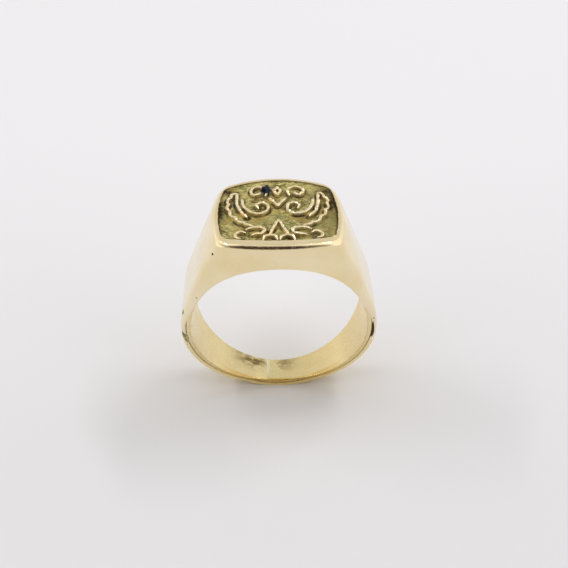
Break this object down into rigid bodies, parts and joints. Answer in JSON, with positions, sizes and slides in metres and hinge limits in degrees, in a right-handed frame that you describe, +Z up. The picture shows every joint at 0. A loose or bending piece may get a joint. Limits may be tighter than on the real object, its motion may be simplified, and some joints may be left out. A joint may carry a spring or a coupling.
{
  "type": "signet ring",
  "caption": "Hollow gold signet ring with a domed cushion face, sunk ground, raised scroll ornament, polished rim and tapering band on an inner sleeve.",
  "frame": {"origin": "Middle of the foot flat under the shank, on the surface that the ring stands on, in the middle of the band's width.", "axes": "+X across the finger to the right, +Y along the finger away from the viewer, +Z up through the finger hole to the signet face."},
  "size_m": [0.0208, 0.0126, 0.0228],
  "materials": {
    "rose_tinted_gold": "polished gold with a faint rose tint",
    "yellow_gold": "worn polished yellow gold",
    "aged_green_gold": "matt, finely hatched and tarnished green gold",
    "pale_green_gold": "satin pale gold",
    "gold_solder": "rough, slightly tarnished solder"
  },
  "bodies": {
    "root": {"head_shell": "rose_tinted_gold", "bezel_rim": "rose_tinted_gold", "signet_plate": "aged_green_gold", "back_shank": "yellow_gold", "inner_liner": "yellow_gold", "sizing_insert": "pale_green_gold", "solder_seam_left": "gold_solder", "solder_seam_right": "gold_solder", "leaf_left": "rose_tinted_gold", "leaf_right": "rose_tinted_gold", "scroll_left": "rose_tinted_gold", "scroll_right": "rose_tinted_gold", "volute_left": "rose_tinted_gold", "volute_right": "rose_tinted_gold", "tendril_left": "rose_tinted_gold", "tendril_right": "rose_tinted_gold", "curl_left": "rose_tinted_gold", "curl_right": "rose_tinted_gold", "centre_chevron": "rose_tinted_gold", "centre_peak": "rose_tinted_gold", "centre_lozenge": "rose_tinted_gold"}
  },
  "joints": []
}
